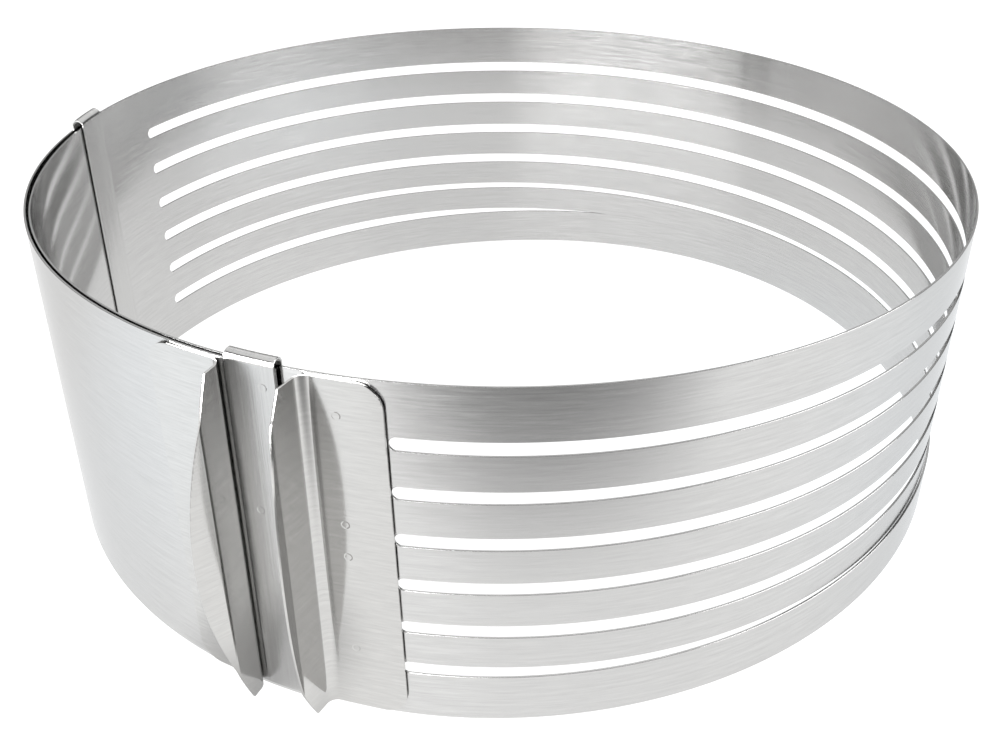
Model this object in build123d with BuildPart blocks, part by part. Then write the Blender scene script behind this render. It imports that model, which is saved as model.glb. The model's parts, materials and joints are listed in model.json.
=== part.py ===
"""Adjustable cake slicing ring: a slotted steel band whose ends overlap, two clips and two finger handles.

Millimetres, +Z up. The ring's axis is Z, it stands on z = 0, and the clip between the handles is at -Y.
The band is one strip of spring steel. It is drawn in lengths, so that it can flex where they meet.
"""

import os
from collections import namedtuple
from math import cos, degrees, pi, radians, sin

from build123d import *

# The ring inside, closed with its handles together, and how much its diameter grows as it opens
closed_diameter = 240.0
diameter_growth = 40.0
band_height = 85.0
sheet = 0.5
layer_gap = 0.8

# The knife slots, counted upwards and spread about mid-height
slot_count = 6
slot_pitch = 11.5
slot_height = 3.5
plain_length = 198.5
slot_cover = 1.0

# The clip at each end of the band: a full-height leg, its top rolled over both layers
clip_width = 11.0
clip_sheet = 0.4
clip_clearance = 0.5
clip_head_room = 0.05
clip_lip = 3.0
clip_foot = 1.5

# The finger handles: a plate welded to the band, bent up into a bow-shaped fin with a creased rim
handle_sheet = 0.6
handle_inset = 0.6
plate_length = 16.3
plate_corner = 5.5
bend_radius = 1.7
fin_middle = 15.5
crease_height = 8.9
crease_radius = 1.5
left_lean = 3.0
left_crease = 15.5
left_ends = 5.7
right_lean = 9.5
right_crease = 27.0
right_ends = 6.5
handle_clearance = 3.1
clip_spacing = 0.2

# How many lengths the band is drawn in, and what is left free at its ends
plain_count = 4
slotted_count = 12
tail_count = 4
end_margin = 1.5
seat_margin = 3.0
overlap_spare = 6.0

# What follows from them, along the strip from its outer end
turn = pi * (closed_diameter + sheet)
layer_pitch = sheet + layer_gap
clip_room = 2 * sheet + layer_gap + clip_clearance
bend_length = bend_radius + handle_sheet
left_plate = clip_width + clip_spacing + bend_length
outer_end = left_plate + plate_length + end_margin
slots_from = plain_length + slot_height / 2
right_fin = turn - handle_clearance
right_plate = right_fin - bend_length
slots_to = right_plate - plate_length + slot_cover - slot_height / 2
seat_end = right_fin + seat_margin
overlap = pi * diameter_growth + outer_end + clip_width + overlap_spare
band_end = turn + overlap

ribbon_feet = [0.0]
ribbon_tops = []
for n in range(slot_count):
    slot_middle = band_height / 2 + (n - (slot_count - 1) / 2) * slot_pitch
    ribbon_tops.append(slot_middle - slot_height / 2)
    ribbon_feet.append(slot_middle + slot_height / 2)
ribbon_tops.append(band_height)

# An arc of the band's middle surface, in plan. Angles are in degrees and grow against the strip's run.
Arc = namedtuple("Arc", "centre radius begin end")


def radius_at(run):
    """The band's radius at this run along the strip: it winds inward by one layer in each turn."""
    return (closed_diameter + sheet) / 2 + layer_pitch * (turn / 2 - run) / turn


def band_arcs(runs):
    """One arc for each stretch between two runs, each tangent to the one before it."""
    begin = -90 + degrees(clip_width / 2 / radius_at(0))
    drift = layer_pitch / (2 * pi)
    centre = (-drift * sin(radians(begin)), drift * cos(radians(begin)))
    arcs = []
    for start, stop in zip(runs, runs[1:]):
        radius = radius_at((start + stop) / 2)
        if arcs:
            step = arcs[-1].radius - radius
            centre = (centre[0] + step * cos(radians(begin)), centre[1] + step * sin(radians(begin)))
        end = begin - degrees((stop - start) / radius)
        arcs.append(Arc(centre, radius, begin, end))
        begin = end
    return arcs


def spread(start, stop, count):
    """The runs that cut a stretch of the strip into equal lengths, without its first end."""
    return [start + (stop - start) * (n + 1) / count for n in range(count)]


def point_on(arc, angle, radius):
    """The point at this angle and radius from an arc's centre."""
    return (arc.centre[0] + radius * cos(radians(angle)), arc.centre[1] + radius * sin(radians(angle)))


def radial_plane(arc, angle):
    """The upright plane through an arc's axis at this angle, with its x pointing outward and its y up."""
    outward = (cos(radians(angle)), sin(radians(angle)), 0)
    return Plane(origin=(*arc.centre, 0), x_dir=outward, z_dir=(outward[1], -outward[0], 0))


def band_length(arc, feet, tops):
    """A length of the band: the sheet, bent to its arc, in one or more strips one above the other."""
    with BuildPart() as length:
        for foot, top in zip(feet, tops):
            with BuildSketch(Plane.XY.offset(foot)):
                with BuildLine():
                    outside = CenterArc(arc.centre, arc.radius + sheet / 2, arc.end, arc.begin - arc.end)
                    inside = CenterArc(arc.centre, arc.radius - sheet / 2, arc.end, arc.begin - arc.end)
                    Line(outside @ 0, inside @ 0)
                    Line(outside @ 1, inside @ 1)
                make_face()
            extrude(amount=top - foot)
    return length.part


def notched(plain, arc, angle):
    """A plain length whose edge at this angle holds the round ends of the slots."""
    outward = (cos(radians(angle)), sin(radians(angle)), 0)
    origin = (*point_on(arc, angle, arc.radius), 0)
    edge = Plane(origin=origin, x_dir=(-outward[1], outward[0], 0), z_dir=outward)
    with BuildPart() as length:
        add(plain)
        with BuildSketch(edge):
            with Locations(*[(0, (foot + top) / 2) for foot, top in zip(ribbon_feet[1:], ribbon_tops)]):
                Circle(slot_height / 2)
        extrude(amount=sheet, both=True, mode=Mode.SUBTRACT)
    return length.part


def clip(arc, begin, end, inward):
    """A clip between two angles: its leg on one face of the band, its top rolled over both layers."""
    way = -1 if inward else 1
    face = arc.radius - way * sheet / 2
    back = face - way * clip_sheet
    far = face + way * clip_room
    middle = (face + far) / 2
    roll = band_height + clip_head_room
    inner_top = roll + clip_room / 2
    with BuildPart() as piece:
        with BuildSketch(radial_plane(arc, end)):
            with BuildLine():
                Line((face, clip_foot), (face, roll))
                ThreePointArc((face, roll), (middle, inner_top), (far, roll))
                Line((far, roll), (far, roll - clip_lip))
                Line((far, roll - clip_lip), (far + way * clip_sheet, roll - clip_lip))
                Line((far + way * clip_sheet, roll - clip_lip), (far + way * clip_sheet, roll))
                ThreePointArc((far + way * clip_sheet, roll), (middle, inner_top + clip_sheet), (back, roll))
                Line((back, roll), (back, clip_foot))
                Line((back, clip_foot), (face, clip_foot))
            make_face()
        revolve(axis=Axis((*arc.centre, 0), (0, 0, 1)), revolution_arc=begin - end)
    return piece.part


def handle(arc, bend_angle, side, lean, crease_angle, ends):
    """A finger handle on the band's outside, bent up at this angle. Its plate lies along the strip's run
    (side 1) or against it (side -1). In plan, x runs along the plate from the bend and y out of the band."""
    surface = arc.radius + sheet / 2
    outward = (cos(radians(bend_angle)), sin(radians(bend_angle)), 0)
    origin = (*point_on(arc, bend_angle, surface), 0)
    plan = Plane(origin=origin, x_dir=(outward[1], -outward[0], 0), z_dir=(0, 0, 1))
    front = Plane(origin=origin, x_dir=outward, z_dir=(outward[1], -outward[0], 0))
    reach = plate_length / surface

    def across(tilt):
        """The way out of the concave face, where the sheet leans this far from upright towards the gap."""
        return Vector(cos(radians(tilt)), sin(radians(tilt)))

    def up(tilt):
        """The way up the sheet, where it leans this far."""
        return Vector(-sin(radians(tilt)), cos(radians(tilt)))

    def placed(points):
        """Points in plan, turned over for a plate that lies against the strip's run."""
        return [(side * point.X, point.Y) for point in points]

    def on_plate(radius, shares):
        """Points along the plate's curve, at shares of its length."""
        return [
            Vector(radius * sin(reach * share), radius * cos(reach * share) - surface)
            for share in shares
        ]

    def on_bend(middle, radius, first, last):
        """Three points on a bend about its middle, from one lean to another."""
        return [middle - across(tilt) * radius for tilt in (first, (first + last) / 2, last)]

    rim = lean - crease_angle
    fold = Vector(0, handle_sheet + bend_radius)
    root = (crease_height - fold.Y + bend_radius * sin(radians(lean))) / cos(radians(lean))
    crease = fold + across(lean) * (crease_radius - bend_radius) + up(lean) * root
    concave_fold = on_bend(fold, bend_radius, 90, lean)
    convex_fold = on_bend(fold, bend_radius + handle_sheet, 90, lean)
    concave_crease = on_bend(crease, crease_radius, lean, rim)
    convex_crease = on_bend(crease, crease_radius + handle_sheet, lean, rim)
    concave_rim = concave_crease[-1] + up(rim) * fin_middle
    convex_rim = convex_crease[-1] + up(rim) * fin_middle
    under_plate = on_plate(surface, (0, 0.5, 1))
    over_plate = on_plate(surface + handle_sheet, (0, 0.5, 1))

    low, high = handle_inset, band_height - handle_inset
    with BuildPart() as piece:
        with BuildSketch(plan.offset(low)):
            with BuildLine():
                ThreePointArc(*placed(under_plate))
                ThreePointArc(*placed(convex_fold))
                Line(*placed([convex_fold[-1], convex_crease[0]]))
                ThreePointArc(*placed(convex_crease))
                Line(*placed([convex_crease[-1], convex_rim]))
                Line(*placed([convex_rim, concave_rim]))
                Line(*placed([concave_rim, concave_crease[-1]]))
                ThreePointArc(*placed(concave_crease))
                Line(*placed([concave_crease[0], concave_fold[-1]]))
                ThreePointArc(*placed(concave_fold))
                ThreePointArc(*placed(over_plate))
                Line(*placed([over_plate[-1], under_plate[-1]]))
            make_face()
        extrude(amount=high - low)
        with BuildSketch(front):
            with BuildLine():
                Line((-plate_length, low), (ends, low))
                ThreePointArc((ends, low), (fin_middle, band_height / 2), (ends, high))
                Line((ends, high), (-plate_length, high))
                Line((-plate_length, high), (-plate_length, low))
            make_face()
        extrude(amount=2 * plate_length, both=True, mode=Mode.INTERSECT)
        far_angle = radians(bend_angle) - side * reach
        corners = piece.edges().filter_by(Axis((0, 0, 0), (cos(far_angle), sin(far_angle), 0)))
        fillet(corners, radius=plate_corner)
    return piece.part


# The band, from its outer end round to its inner end
runs = [0.0, outer_end]
runs += spread(outer_end, slots_from, plain_count)
runs += spread(slots_from, slots_to, slotted_count)
runs += [seat_end]
runs += spread(seat_end, band_end, tail_count)
names = ["band_outer_end"]
names += [f"band_plain_{n + 1}" for n in range(plain_count)]
names += [f"band_slotted_{n + 1:02d}" for n in range(slotted_count)]
names += ["band_handle_seat"]
names += [f"band_tail_{n + 1}" for n in range(tail_count - 1)]
names += ["band_inner_end"]
arcs = dict(zip(names, band_arcs(runs)))

pieces = {}
for name, arc in arcs.items():
    if "slotted" in name:
        pieces[name] = band_length(arc, ribbon_feet, ribbon_tops)
    else:
        pieces[name] = band_length(arc, [0.0], [band_height])
last_plain = f"band_plain_{plain_count}"
pieces[last_plain] = notched(pieces[last_plain], arcs[last_plain], arcs[last_plain].end)
seat = arcs["band_handle_seat"]
pieces["band_handle_seat"] = notched(pieces["band_handle_seat"], seat, seat.begin)

# The clips, each flush with its end of the band
first = arcs["band_outer_end"]
pieces["outer_clip"] = clip(first, first.begin, first.begin - degrees(clip_width / first.radius), inward=True)
last = arcs["band_inner_end"]
pieces["inner_clip"] = clip(last, last.end + degrees(clip_width / last.radius), last.end, inward=False)

# The handles, back to back with the outer clip between them
left_bend = first.begin - degrees(left_plate / first.radius)
right_bend = seat.begin - degrees((right_plate - slots_to) / seat.radius)
pieces["left_handle"] = handle(first, left_bend, 1, left_lean, left_crease, left_ends)
pieces["right_handle"] = handle(seat, right_bend, -1, right_lean, right_crease, right_ends)

os.makedirs("parts", exist_ok=True)
for name, piece in pieces.items():
    piece.label = name
    export_step(piece, f"parts/{name}.step")
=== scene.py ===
"""An adjustable cake slicing ring of brushed stainless sheet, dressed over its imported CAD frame. Metres, +Z up."""

import json

import bmesh
import bpy
import numpy as np
from mathutils import Matrix

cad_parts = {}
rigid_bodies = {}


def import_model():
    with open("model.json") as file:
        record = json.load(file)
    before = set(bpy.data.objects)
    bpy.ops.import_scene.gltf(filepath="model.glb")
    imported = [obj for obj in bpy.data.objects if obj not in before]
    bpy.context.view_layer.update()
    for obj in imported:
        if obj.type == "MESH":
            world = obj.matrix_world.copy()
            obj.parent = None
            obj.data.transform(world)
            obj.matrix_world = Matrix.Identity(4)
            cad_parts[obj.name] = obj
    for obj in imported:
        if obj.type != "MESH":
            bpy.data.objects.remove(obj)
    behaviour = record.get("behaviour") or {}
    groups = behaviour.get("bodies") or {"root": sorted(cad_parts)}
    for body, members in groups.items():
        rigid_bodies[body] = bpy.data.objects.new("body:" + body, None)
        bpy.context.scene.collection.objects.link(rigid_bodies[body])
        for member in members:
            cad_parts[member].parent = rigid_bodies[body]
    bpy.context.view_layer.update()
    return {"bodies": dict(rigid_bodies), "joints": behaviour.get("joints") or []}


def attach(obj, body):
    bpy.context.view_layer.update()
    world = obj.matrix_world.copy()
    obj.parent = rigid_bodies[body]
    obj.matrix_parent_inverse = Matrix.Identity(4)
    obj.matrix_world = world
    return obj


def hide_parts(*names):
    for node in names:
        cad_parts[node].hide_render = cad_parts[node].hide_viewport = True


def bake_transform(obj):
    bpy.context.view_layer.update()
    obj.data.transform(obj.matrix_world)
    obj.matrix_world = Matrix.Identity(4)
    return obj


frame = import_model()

# The band: one strip of spring steel, half a millimetre thick, with six knife slots cut through it and rolled into
# a ring whose ends slide past each other. It is brushed along its length, and its seven ribbons hang a little slack.
millimetre = 0.001
band_height = 0.085
band_sheet = 0.0005
band_edge = 0.00004
slot_pitch = 0.0115
slot_middles = band_height / 2 + slot_pitch * np.arange(-2.5, 3)
slot_round = 0.0016
ribbon_rise = millimetre * np.array([0, 1.6, 0, 0, 0, 0, 0])
ribbon_drop = millimetre * np.array([0, 0.4, -0.3, -0.2, -0.1, 0.3, 0.25])
lowest_lift = 0.0068
lift_powers = 3, 1.3
lowest_stray = 0.00064
tail_close = 0.0003
tail_close_till = 0.66
tail_gap = 0.0004
tail_gap_from = 0.62
clip_width = 0.011

bodies = list(frame["bodies"])
seams = np.array([joint["pos_m"] for joint in frame["joints"]])
seam_angles = np.unwrap(np.arctan2(seams[:, 1], seams[:, 0]))
winding = np.polyfit(seam_angles, np.hypot(seams[:, 0], seams[:, 1]), 1)
mean_radius = np.polyval(winding, seam_angles.mean())
first_seam_of_slots = bodies.index("slotted_01") - 1
last_seam_of_slots = bodies.index("handle_seat") - 1


def on_band(angle, height, out):
    """A point by its angle about the axis, its height, and how far it lies out from the band's outer face, whose
    radius shrinks evenly along the strip: (r cos a, r sin a, h) with r = winding(a) + out."""
    radius = np.polyval(winding, angle) + out
    return np.stack(np.broadcast_arrays(radius * np.cos(angle), radius * np.sin(angle), height), -1)


def along_slots(angle):
    """How far along the slots an angle is, from 0 at the middle of their first round end to 1 at the last."""
    first, last = seam_angles[[first_seam_of_slots, last_seam_of_slots]]
    return (first - angle) / (first - last)


def slot_half_height(angle):
    """Half a slot's height: its round's radius between the middles of its two ends, and a half circle past them,
    h = sqrt(r^2 - d^2) with d the distance past the middle."""
    length = (seam_angles[first_seam_of_slots] - seam_angles[last_seam_of_slots]) * mean_radius
    share = along_slots(angle)
    past = np.maximum(np.maximum(-share, share - 1), 0) * length
    return np.sqrt(np.maximum(slot_round**2 - past**2, 0))


def ribbon_sag(angle):
    """How far each ribbon stands off its straight line: rise sin(pi u) - drop sin(pi u^4). The lowest, which is
    slack and rides up off the ground, adds lift sin(pi u)^p, with a higher power p on its first half."""
    share = np.clip(along_slots(angle), 0, 1)[:, None]
    sag = ribbon_rise * np.sin(np.pi * share) - ribbon_drop * np.sin(np.pi * share**4)
    sag[:, :1] += lowest_lift * np.sin(np.pi * share) ** np.where(share < 0.5, *lift_powers)
    return sag


def ribbon_stray(angle):
    """How far each ribbon stands out of the band's curve: only the lowest does, where it overlaps the next one,
    stray (1 - (1 - sin(pi u))^3)."""
    share = np.clip(along_slots(angle), 0, 1)[:, None]
    stray = np.zeros((len(angle), len(ribbon_rise)))
    stray[:, :1] = lowest_stray * (1 - (1 - np.sin(np.pi * share)) ** 3)
    return stray


def tail_stray(angle):
    """How far the overlapping tail stands out of its curve: it lies close up to the outer layer for most of its way,
    close (1 - (1 - sin(pi u))^3), and springs in from it before the inner clip, -gap sin(pi v)^2."""
    tail_begin = seam_angles[last_seam_of_slots + 1]
    share = (tail_begin - angle) / (tail_begin - band_end)
    near = np.sin(np.pi * np.clip(share / tail_close_till, 0, 1))
    far = np.sin(np.pi * np.clip((share - tail_gap_from) / (1 - tail_gap_from), 0, 1))
    return tail_close * (1 - (1 - near) ** 3) - tail_gap * far**2


merge_distance = 1e-7
sharp_angle = np.radians(30)


def new_piece(name, points, faces, brush, material, raw=None):
    """A mesh object from points and faces, its doubles merged and its faces turned outward. The brush coordinates
    of the points, along and across the brushing in metres, become its UV map. Raw cut edges are marked by face."""
    mesh = bpy.data.meshes.new(name)
    mesh.from_pydata(points.reshape(-1, 3), [], faces)
    if raw is not None:
        mesh.attributes.new("raw_edge", "FLOAT", "FACE").data.foreach_set("value", raw.astype(np.float32))
    carried = mesh.attributes.new("brush", "FLOAT_VECTOR", "POINT")
    flat = np.zeros((points.size // 3, 3), np.float32)
    flat[:, : brush.shape[-1]] = brush.reshape(-1, brush.shape[-1])
    carried.data.foreach_set("vector", flat.ravel())
    shell = bmesh.new()
    shell.from_mesh(mesh)
    bmesh.ops.remove_doubles(shell, verts=shell.verts, dist=merge_distance)
    bmesh.ops.recalc_face_normals(shell, faces=shell.faces)
    shell.to_mesh(mesh)
    shell.free()
    kept = np.zeros(len(mesh.vertices) * 3, np.float32)
    mesh.attributes["brush"].data.foreach_get("vector", kept)
    corners = np.zeros(len(mesh.loops), np.int32)
    mesh.loops.foreach_get("vertex_index", corners)
    mesh.uv_layers.new(name="brush_map")
    mesh.uv_layers["brush_map"].data.foreach_set("uv", kept.reshape(-1, 3)[corners, :2].ravel())
    mesh.attributes.remove(mesh.attributes["brush"])
    mesh.shade_smooth()
    mesh.set_sharp_from_angle(angle=sharp_angle)
    mesh.materials.append(material)
    piece = bpy.data.objects.new(name, mesh)
    bpy.context.scene.collection.objects.link(piece)
    return piece


def worked_out(tree, kind, operation, *inputs):
    """The outputs of a node of maths, whose inputs are numbers or the outputs of other nodes."""
    node = tree.nodes.new(kind)
    node.operation = operation
    for socket, given in zip(node.inputs, inputs):
        if isinstance(given, bpy.types.NodeSocket):
            tree.links.new(given, socket)
        else:
            socket.default_value = given
    return node.outputs


def carried_over(tree, value, low, high, to_low, to_high, smooth=False):
    """A value carried from its range over to another one, evenly or smoothly. The other range is of numbers, or of
    colours, which sit on sockets 6 to 10 of the node."""
    node = tree.nodes.new("ShaderNodeMapRange")
    if smooth:
        node.interpolation_type = "SMOOTHSTEP"
    first_socket, result = 0, 0
    if np.ndim(to_low):
        node.data_type = "FLOAT_VECTOR"
        first_socket, result = 6, 1
        low, high = (low, low, low), (high, high, high)
    tree.links.new(value, node.inputs[first_socket])
    for number, bound in enumerate((low, high, to_low, to_high), first_socket + 1):
        node.inputs[number].default_value = bound
    return node.outputs[result]


def pressed_in(tree, height, depth):
    """A bump node that presses this height into the surface, this deep."""
    node = tree.nodes.new("ShaderNodeBump")
    node.inputs["Strength"].default_value = 1.0
    node.inputs["Distance"].default_value = depth
    tree.links.new(height, node.inputs["Height"])
    return node


grazing_tint = 0.8, 0.8, 0.8, 1
streak_sizes = (1, 1), (0.4, 0.6), (3, 2.5)
streak_detail = 3.0
streak_range = 0.6, 1.4
tone_spread = 0.08
polish_spread = 0.03
raw_tone = 0.65
raw_roughness = 0.03
weld_floor = 0.0007
weld_rim = 0.001
weld_depth = 0.00004


def brushed_steel(name, tone, roughness, anisotropy, brush_length, brush_width, depth, welds=()):
    """Stainless steel brushed along the first coordinate of the brush map: noise stretched along it varies the tone
    and the roughness and scratches the surface, and the gloss spreads across it. Raw cut edges are darker and
    rougher. A spot weld at a place of the map leaves a shallow round dent."""
    material = bpy.data.materials.new(name)
    material.use_nodes = True
    tree = material.node_tree
    steel = tree.nodes["Principled BSDF"]
    steel.inputs["Metallic"].default_value = 1.0
    steel.inputs["Specular Tint"].default_value = grazing_tint
    steel.inputs["Anisotropic"].default_value = anisotropy
    steel.inputs["Anisotropic Rotation"].default_value = 0.25
    along = tree.nodes.new("ShaderNodeTangent")
    along.direction_type = "UV_MAP"
    along.uv_map = "brush_map"
    tree.links.new(along.outputs["Tangent"], steel.inputs["Tangent"])
    place = tree.nodes.new("ShaderNodeUVMap")
    place.uv_map = "brush_map"
    streaks = []
    for longer, wider in streak_sizes:
        stretch = tree.nodes.new("ShaderNodeMapping")
        stretch.inputs["Scale"].default_value = (1 / (brush_length * longer), 1 / (brush_width * wider), 1)
        noise = tree.nodes.new("ShaderNodeTexNoise")
        noise.inputs["Scale"].default_value = 1.0
        noise.inputs["Detail"].default_value = streak_detail
        tree.links.new(place.outputs["UV"], stretch.inputs["Vector"])
        tree.links.new(stretch.outputs["Vector"], noise.inputs["Vector"])
        streaks.append(noise.outputs["Fac"])
    plain, fine, coarse = streaks
    raw = tree.nodes.new("ShaderNodeAttribute")
    raw.attribute_name = "raw_edge"
    grain = worked_out(tree, "ShaderNodeMath", "ADD", plain, coarse)["Value"]
    dark = [(1 - tone_spread) * share for share in tone]
    bright = [(1 + tone_spread) * share for share in tone]
    shade = carried_over(tree, grain, *streak_range, dark, bright)
    dulled = carried_over(tree, raw.outputs["Fac"], 0, 1, 1, raw_tone)
    toned = worked_out(tree, "ShaderNodeVectorMath", "MULTIPLY", shade, dulled)["Vector"]
    tree.links.new(toned, steel.inputs["Base Color"])
    polish = carried_over(tree, grain, *streak_range, roughness - polish_spread, roughness + polish_spread)
    rough = worked_out(tree, "ShaderNodeMath", "MULTIPLY_ADD", raw.outputs["Fac"], raw_roughness, polish)["Value"]
    tree.links.new(rough, steel.inputs["Roughness"])
    scratches = worked_out(tree, "ShaderNodeMath", "ADD", plain, fine)["Value"]
    scored = pressed_in(tree, scratches, depth)
    tree.links.new(scored.outputs["Normal"], steel.inputs["Normal"])
    nearest = 1.0
    for weld in welds:
        away = worked_out(tree, "ShaderNodeVectorMath", "DISTANCE", place.outputs["UV"], (*weld, 0))["Value"]
        nearest = worked_out(tree, "ShaderNodeMath", "MINIMUM", nearest, away)["Value"]
    if welds:
        dent = pressed_in(tree, carried_over(tree, nearest, weld_floor, weld_rim, 0, 1, True), weld_depth)
        tree.links.new(dent.outputs["Normal"], scored.inputs["Normal"])
    return material


band_steel = brushed_steel(
    "brushed_band_steel",
    (0.548, 0.546, 0.541),
    roughness=0.14,
    anisotropy=1.0,
    brush_length=0.006,
    brush_width=0.0003,
    depth=0.000001,
)


def band_stretch(name, angles, material):
    """A stretch of the band over these angles: seven ribbons, each an eight-cornered loop round its section, carried
    along the strip. Sides 0 and 4 of the loop are the sheet's faces, 1 to 3 its raw top and 5 to 7 its raw foot.
    Where the slots are shut the ribbons grow together into one sheet."""
    half = slot_half_height(angles)[:, None]
    count = len(ribbon_rise)
    shut = np.zeros_like(half)
    feet = np.concatenate([shut, slot_middles + half], 1)
    tops = np.concatenate([slot_middles - half, shut + band_height], 1)
    cut = np.minimum(band_edge, half / 2)
    foot_cut = np.concatenate([shut + band_edge, np.repeat(cut, count - 1, 1)], 1)
    top_cut = np.concatenate([np.repeat(cut, count - 1, 1), shut + band_edge], 1)
    outside = np.zeros_like(feet)
    inside = outside - band_sheet
    out = np.stack([outside, outside, -top_cut, inside + top_cut, inside, inside, inside + foot_cut, -foot_cut], -1)
    low, high = feet + foot_cut, tops - top_cut
    height = np.stack([low, high, tops, tops, high, low, feet, feet], -1)
    run = np.broadcast_to(-angles[:, None, None] * mean_radius, height.shape)
    brush = np.stack([run, height], -1)
    height = height + ribbon_sag(angles)[:, :, None]
    out = out + ribbon_stray(angles)[:, :, None] + tail_stray(angles)[:, None, None]
    points = on_band(angles[:, None, None], height, out)
    index = np.arange(height.size).reshape(height.shape)
    after = np.roll(index, -1, 2)
    walls = np.stack([index[:-1], after[:-1], after[1:], index[1:]], -1)
    grown = np.broadcast_to(((half[:-1] == 0) & (half[1:] == 0))[:, :, None], walls.shape[:3]).copy()
    grown[:, :, [0, 4]] = False
    grown[:, 0, 5:] = False
    grown[:, -1, 1:4] = False
    faces = walls[~grown].tolist() + index[0].tolist() + index[-1].tolist()
    raw = np.broadcast_to(np.arange(8) % 4 > 0, walls.shape[:3])[~grown]
    raw = np.concatenate([raw, np.full(2 * count, True)])
    return new_piece(name, points, faces, brush, material, raw)


band_begin = -np.pi / 2 + clip_width / 2 / np.polyval(winding, -np.pi / 2)
band_end = 2 * seam_angles[-1] - seam_angles[-2]
length_ends = np.concatenate([[band_begin], seam_angles, [band_end]])
borders = (length_ends[:-1] + length_ends[1:]) / 2
borders[[0, -1]] = band_begin, band_end
column_count = 40
column_shares = (1 - np.cos(np.pi * np.arange(column_count + 1) / column_count)) / 2
slot_end_count = 16
slot_end_columns = slot_round / mean_radius * np.cos(np.pi * np.arange(slot_end_count + 1) / slot_end_count)
first_bend_reach = 0.0015
slot_end_bend_reach = 0.00075
handle_bend_reach = 0.003
bend_reach = (seam_angles[1] - seam_angles[2]) / 2 * np.ones(len(seams))
bend_reach[0] = first_bend_reach / mean_radius
bend_reach[last_seam_of_slots] = slot_end_bend_reach / mean_radius
bend_reach[last_seam_of_slots + 1] = handle_bend_reach / mean_radius

for number, (seam, reach) in enumerate(zip(seam_angles, bend_reach)):
    columns = borders[number] + (borders[number + 1] - borders[number]) * column_shares
    if number in (first_seam_of_slots, last_seam_of_slots):
        columns = np.union1d(columns, seam + slot_end_columns)[::-1]
    stretch = band_stretch(f"band_stretch_{number + 1:02d}", columns, band_steel)
    before, beyond = bodies[number : number + 2]
    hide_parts(f"band_{before}", f"band_{beyond}")
    on_band(seam + reach, 0, 0)
    on_band(seam - reach, 0, 0)
    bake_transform(stretch)

# The clips: a narrow strip of the same sheet at each end of the band, spot-welded flat to it from foot to rim.
# Its top is rolled over both layers, so the ends can slide in it but can't come apart.
clip_sheet = 0.0004
clip_room = 0.0026
clip_foot = 0.0015
clip_lip = 0.003
clip_soft = 0.00008
clip_end_thickness = 0.6
outer_head_room = 0.00005
inner_head_room = 0.0004
inner_spring = 0.0003
leg_points, turn_points, lip_points = 170, 33, 9
clip_columns = 29


def clip_line(roll):
    """The middle line of a clip's section, as height and as distance from the welded face: straight up the leg, half
    a turn over the layers from this height, and straight down the lip. Also each point's way out of the line."""
    radius = (clip_room + clip_sheet) / 2
    leg = np.linspace(clip_foot, roll, leg_points)[:-1]
    turn = np.linspace(0, np.pi, turn_points)
    lip = np.linspace(roll, roll - clip_lip, lip_points)[1:]
    over = radius * (1 - np.cos(turn)) - clip_sheet / 2
    height = np.concatenate([leg, roll + radius * np.sin(turn), lip])
    across = np.concatenate([0 * leg - clip_sheet / 2, over, 0 * lip + clip_room + clip_sheet / 2])
    tilt = np.concatenate([0 * leg, turn, 0 * lip + np.pi])
    return height, across, np.stack([np.sin(tilt), -np.cos(tilt)])


def clip(name, start, end, face, way, roll, spring, material):
    """A clip between two angles: its section's line, thickened to both sides, carried round the ring. The section is
    a little thinner and shorter at the two cut ends, which rounds them off. Its leg lies on the face at this distance
    out of the band, and its roll goes this way, 1 outward or -1 inward. Its starting edge springs off the band."""
    height, across, normal = clip_line(roll)
    soft_share = clip_soft / clip_width
    shares = np.concatenate([[0], soft_share + (1 - 2 * soft_share) * np.linspace(0, 1, clip_columns), [1]])
    angles = start + (end - start) * shares
    thin = np.full(len(angles), 1.0)
    thin[[0, -1]] = 1 - 2 * clip_soft / clip_sheet
    half = np.repeat(clip_sheet / 2 * thin[:, None], len(height), 1)
    half[:, [0, -1]] *= clip_end_thickness
    upper = np.stack([height + half * normal[0], across + half * normal[1]])
    lower = np.stack([height - half * normal[0], across - half * normal[1]])
    loop = np.concatenate([upper, lower[:, :, ::-1]], 2)
    sprung = spring * ((angles - end) / (start - end))[:, None] ** 2
    points = on_band(angles[:, None], loop[0], face + way * (loop[1] - sprung))
    run = np.broadcast_to(-angles[:, None] * mean_radius, loop[0].shape)
    length = np.concatenate([[0], np.cumsum(np.hypot(np.diff(height), np.diff(across)))])
    brush = np.stack([np.broadcast_to(np.concatenate([length, length[::-1]]), run.shape), run], -1)
    index = np.arange(run.size).reshape(run.shape)
    after = np.roll(index, -1, 1)
    walls = np.stack([index[:-1], after[:-1], after[1:], index[1:]], -1).reshape(-1, 4)
    step = np.arange(len(height) - 1)
    back = 2 * len(height) - 1 - step
    cap = np.stack([step, step + 1, back - 1, back], -1)
    faces = np.concatenate([walls, index[0][cap], index[-1][cap]]).tolist()
    return new_piece(name, points, faces, brush, material)


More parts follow.
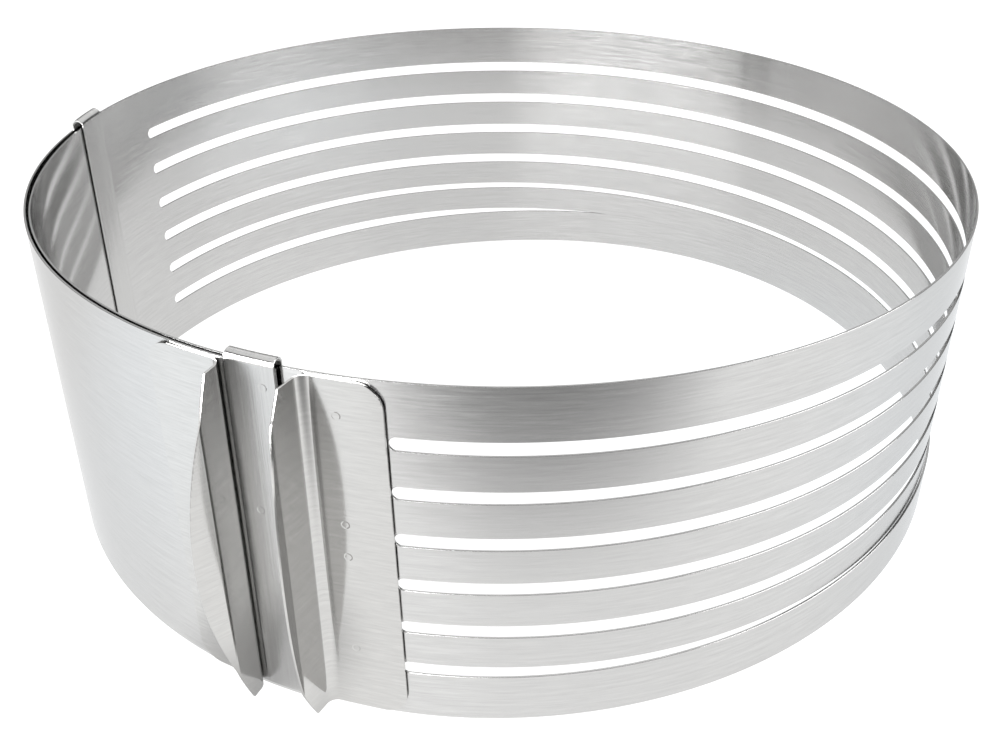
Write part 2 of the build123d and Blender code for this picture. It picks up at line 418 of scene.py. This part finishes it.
clip_welds = [(height, np.radians(turn) * mean_radius) for height, turn in ((0.079, 88.75), (0.049, 90.65))]
clip_steel = brushed_steel(
    "clip_steel",
    (0.552, 0.55, 0.544),
    roughness=0.23,
    anisotropy=0.7,
    brush_length=0.02,
    brush_width=0.0004,
    depth=0.00001,
    welds=clip_welds,
)
clip_turn = clip_width / mean_radius
outer_clip = clip(
    "rolled_outer_clip",
    start=band_begin,
    end=band_begin - clip_turn,
    face=0,
    way=-1,
    roll=band_height + outer_head_room,
    spring=0,
    material=clip_steel,
)
inner_clip = clip(
    "rolled_inner_clip",
    start=band_end + clip_turn,
    end=band_end,
    face=-band_sheet,
    way=1,
    roll=band_height + inner_head_room,
    spring=inner_spring,
    material=clip_steel,
)
for piece, body, node in ((outer_clip, "outer_end", "outer_clip"), (inner_clip, "inner_end", "inner_clip")):
    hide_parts(node)
    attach(piece, body)

# The finger handles: a bent sheet each, a plate with two rounded corners welded to the band and a bow-shaped fin that
# stands up from it, its rim creased over. They stand back to back, with the outer clip between them.
handle_sheet = 0.00045
handle_inset = 0.0006
handle_low = handle_inset
handle_high = band_height - handle_inset
handle_edge = 0.0001
edge_steps = 2
edge_angle = np.radians(60)
plate_corner = 0.0055
plate_spring = 0.0005
plate_room = 0.018
fold_radius = 0.0025
crease_radius = 0.0015
crease_height = 0.0089
flap_room = 0.012
plate_points, fold_points, wall_points, crease_points, flap_points = 48, 15, 17, 11, 31
handle_rows = 161


def handle_line(lean, crease_angle):
    """The middle line of a handle's section in plan, from its plate's far edge over the fold and the crease to past
    the rim: distance along the band from the fold, distance out of it, and length from the fold."""
    rim = lean - crease_angle

    def across(tilt):
        return np.array([np.cos(tilt), np.sin(tilt)])

    def up(tilt):
        return np.array([-np.sin(tilt), np.cos(tilt)])

    fold_middle = np.array([0, handle_sheet + fold_radius])
    root = (crease_height - fold_middle[1] + fold_radius * np.sin(lean)) / np.cos(lean)
    crease_middle = fold_middle + across(lean) * (crease_radius - fold_radius) + up(lean) * root
    half = handle_sheet / 2
    plate_run = np.linspace(plate_room, 0, plate_points)[:-1]
    plate = np.stack([plate_run, np.full(len(plate_run), half)])
    fold = fold_middle[:, None] - (fold_radius + half) * across(np.linspace(np.pi / 2, lean, fold_points))
    crease = crease_middle[:, None] - (crease_radius + half) * across(np.linspace(lean, rim, crease_points))
    wall = fold[:, -1:] + (crease[:, :1] - fold[:, -1:]) * np.linspace(0, 1, wall_points)[1:-1]
    flap = crease[:, -1:] + up(rim)[:, None] * np.linspace(0, flap_room, flap_points)[1:]
    line = np.concatenate([plate, fold, wall, crease, flap], 1)
    length = np.concatenate([[0], np.cumsum(np.hypot(*np.diff(line)))])
    return line, length - length[len(plate_run)]


def bow(height, foot, top, middle):
    """How far out the fin reaches at a height: a circle's bow over the straight line from its foot to its top."""
    line = foot + (top - foot) * (height - handle_low) / (handle_high - handle_low)
    rise = middle - (foot + top) / 2
    chord = (handle_high - handle_low) / 2
    radius = (rise**2 + chord**2) / (2 * rise)
    return line + rise - radius + np.sqrt(radius**2 - (height - band_height / 2) ** 2)


def handle(name, fold_angle, side, lean, crease_angle, reach, plate_ends, material):
    """A handle as a sheet: its section's line carried up the height, cut at the plate's rounded corners and at the
    fin's bow, then given its thickness and soft edges. Its plate lies along the strip (side 1) or against it (-1)."""
    line, length = handle_line(np.radians(lean), np.radians(crease_angle))
    rise = handle_high - handle_low
    height = handle_low + rise * (1 - np.cos(np.linspace(0, np.pi, handle_rows))) / 2
    near_end = np.maximum(plate_corner - np.minimum(height - handle_low, handle_high - height), 0)
    plate_length = plate_ends[0] + (plate_ends[1] - plate_ends[0]) * (height - handle_low) / rise
    far_edge = plate_corner - np.sqrt(plate_corner**2 - near_end**2) - plate_length
    standing = length > 0
    rim = np.interp(bow(height, *reach), line[1, standing], length[standing])
    cut = np.clip(length, far_edge[:, None], rim[:, None])
    along = np.interp(cut, length, line[0])
    out = np.interp(cut, length, line[1]) + plate_spring * np.clip(-cut / plate_length[:, None], 0, 1) ** 2
    points = on_band(fold_angle - side * along / mean_radius, height[:, None], out)
    brush = np.stack([cut, np.broadcast_to(height[:, None], cut.shape)], -1)
    index = np.arange(cut.size).reshape(cut.shape)
    faces = np.stack([index[:-1, :-1], index[1:, :-1], index[1:, 1:], index[:-1, 1:]], -1)
    if side < 0:
        faces = faces[:, :, ::-1]
    piece = new_piece(name, points, faces.reshape(-1, 4).tolist(), brush, material)
    thickness = piece.modifiers.new("sheet", "SOLIDIFY")
    thickness.thickness = handle_sheet
    thickness.offset = 0
    softening = piece.modifiers.new("edges", "BEVEL")
    softening.width = handle_edge
    softening.segments = edge_steps
    softening.limit_method = "ANGLE"
    softening.angle_limit = edge_angle
    return piece


weld_line = -0.0048
handle_welds = [(weld_line, height) for height in (0.0764, 0.0506, 0.0424, 0.0175)]
handle_steel = brushed_steel(
    "satin_handle_steel",
    (0.55, 0.546, 0.536),
    roughness=0.12,
    anisotropy=0.5,
    brush_length=0.004,
    brush_width=0.0003,
    depth=0.000002,
    welds=handle_welds,
)
left_from_band_begin = 0.0143
left_fold = band_begin - left_from_band_begin / mean_radius
left_bends = 3.0, 27.5
left_reach = 0.0053, 0.0057, 0.0144
left_plate = 0.0155, 0.0162
right_from_slots = 0.01625
right_fold = seam_angles[last_seam_of_slots] - right_from_slots / mean_radius
right_bends = 9.5, 27.0
right_reach = 0.0056, 0.0065, 0.0155
right_plate = 0.0157, 0.0143
left_handle = handle("left_finger_handle", left_fold, 1, *left_bends, left_reach, left_plate, handle_steel)
right_handle = handle("right_finger_handle", right_fold, -1, *right_bends, right_reach, right_plate, handle_steel)
for piece, body, node in (
    (left_handle, "outer_end", "left_handle"),
    (right_handle, "handle_seat", "right_handle"),
):
    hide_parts(node)
    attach(piece, body)

# The studio: a plain white table under the ring, lit from below, with painted pools of brighter, cooler light on
# it at the left and right, and soft boxes left, right and above, a white backdrop and dim walls. Cards that only
# the steel sees are painted shade: the dark of a camera close over the table, and the shade that the ring itself
# throws inside and under its handles.
view_turn = np.radians(23.05)
table_reach = 6.0
table_light = 1.06
left_painted_glow = 1.12, 1.155, 1.185
right_painted_glow = 1.05, 1.075, 1.095
card_light = 0.1
dim_grey = 0.06, 0.06, 0.06, 1
sheet_corners = 128


def seen_from_camera(azimuth, distance, height):
    """A point by its azimuth as the camera sees it (-90 degrees is towards the camera), distance and height."""
    angle = np.radians(azimuth) + view_turn
    return distance * np.cos(angle), distance * np.sin(angle), height


def stage_sheet(name, middle, reach, light):
    """A round sheet of the studio about a middle, facing up and shining with this light, and its material's nodes."""
    turn = 2 * np.pi * np.arange(sheet_corners) / sheet_corners
    rim = np.array(middle) + reach * np.stack([np.cos(turn), np.sin(turn), 0 * turn], -1)
    mesh = bpy.data.meshes.new(name)
    mesh.from_pydata(rim.tolist(), [], [list(range(sheet_corners))])
    sheet = bpy.data.objects.new(name, mesh)
    bpy.context.scene.collection.objects.link(sheet)
    material = bpy.data.materials.new(name)
    material.use_nodes = True
    shader = material.node_tree.nodes["Principled BSDF"]
    shader.inputs["Base Color"].default_value = dim_grey
    shader.inputs["Roughness"].default_value = 0.9
    shader.inputs["Specular IOR Level"].default_value = 0.0
    shader.inputs["Emission Color"].default_value = (1, 1, 1, 1)
    shader.inputs["Emission Strength"].default_value = light
    mesh.materials.append(material)
    return sheet, material.node_tree


def fading(tree, middle, whole, gone, inside, outside):
    """A value for a shader: the inside one up to a distance from a middle, fading to the outside one."""
    place = tree.nodes.new("ShaderNodeTexCoord")
    away = worked_out(tree, "ShaderNodeVectorMath", "DISTANCE", place.outputs["Object"], middle)["Value"]
    return carried_over(tree, away, whole, gone, inside, outside, True)


table_tree = stage_sheet("white_table", (0, 0, 0), table_reach, table_light)[1]
# Painted light: pools of brighter, cooler glow on the table at the left and right.
painted_glow_patches = []
for azimuth, distance, whole, gone, tint in (
    (-147, 0.2385, 0.04, 0.16, left_painted_glow),
    (3.4, 0.17, 0.05, 0.18, right_painted_glow),
):
    glow_middle = seen_from_camera(azimuth, distance, 0)
    painted_glow_patches.append(fading(table_tree, glow_middle, whole, gone, tint, (1, 1, 1)))
painted_glow_colour = worked_out(table_tree, "ShaderNodeVectorMath", "MULTIPLY", *painted_glow_patches)["Vector"]
table_tree.links.new(painted_glow_colour, table_tree.nodes["Principled BSDF"].inputs["Emission Color"])

# Painted shade: dark cards seen only in the steel, for the camera's shadow in front and the ring's own shade.
for name, azimuth, distance, lift, whole, gone, dark in (
    ("painted_shade_in_front", -83.9, 0.374, 0.001, 0.105, 0.222, 1.0),
    ("shade_at_handles", -118, 0.133, 0.0006, 0.01, 0.03, 0.45),
    ("shade_inside", 66.8, 0.076, 0.0003, 0.05, 0.11, 0.1),
):
    card_middle = seen_from_camera(azimuth, distance, lift)
    card, card_tree = stage_sheet(name, card_middle, gone, card_light)
    painted_shade_cover = fading(card_tree, card_middle, whole, gone, (dark, dark, dark), (0, 0, 0))
    card_tree.links.new(painted_shade_cover, card_tree.nodes["Principled BSDF"].inputs["Alpha"])
    card.visible_camera = False

for name, azimuth, distance, height, wide, high, light in (
    ("left_soft_box", -131, 0.95, 0.45, 1.4, 0.7, 21.0),
    ("right_soft_box", -20, 0.95, 0.45, 1.1, 0.6, 8.0),
    ("white_backdrop", 90, 0.8, 0.65, 1.6, 0.7, 1.0),
    ("ceiling_soft_box", 90, 0.1, 1.1, 1.8, 1.6, 1.1),
):
    lamp = bpy.data.lights.new(name, "AREA")
    lamp.shape = "ELLIPSE"
    lamp.size = wide
    lamp.size_y = high
    lamp.energy = light * np.pi * np.pi / 4 * wide * high
    box = bpy.data.objects.new(name, lamp)
    box.location = seen_from_camera(azimuth, distance, height)
    box.rotation_euler = (-box.location).to_track_quat("-Z", "Y").to_euler()
    bpy.context.scene.collection.objects.link(box)

walls = bpy.data.worlds.new("studio_walls")
bpy.context.scene.world = walls
walls.use_nodes = True
walls.node_tree.nodes["Background"].inputs["Color"].default_value = dim_grey
bpy.context.scene.view_settings.view_transform = "Standard"

# The camera: a normal lens close in front of the ring, looking down on it by 31 degrees. Its place, its lens and its
# small turns are those that fit the photograph's rims and slot ends.
camera_distance = 0.302508
camera_height = 0.198636
camera_pan = 0.00273
camera_dip = 0.54354
camera_roll = 0.00366

lens = bpy.data.cameras.new("camera")
lens.sensor_width = 36.0
lens.lens = 42.868
lens.clip_start = 0.01
camera = bpy.data.objects.new("camera", lens)
camera.location = seen_from_camera(-90, camera_distance, camera_height)
turned = Matrix.Rotation(view_turn + camera_pan, 3, "Z")
tilted = Matrix.Rotation(np.pi / 2 - camera_dip, 3, "X")
rolled = Matrix.Rotation(-camera_roll, 3, "Z")
camera.rotation_euler = (turned @ tilted @ rolled).to_euler()
bpy.context.scene.collection.objects.link(camera)
bpy.context.scene.camera = camera
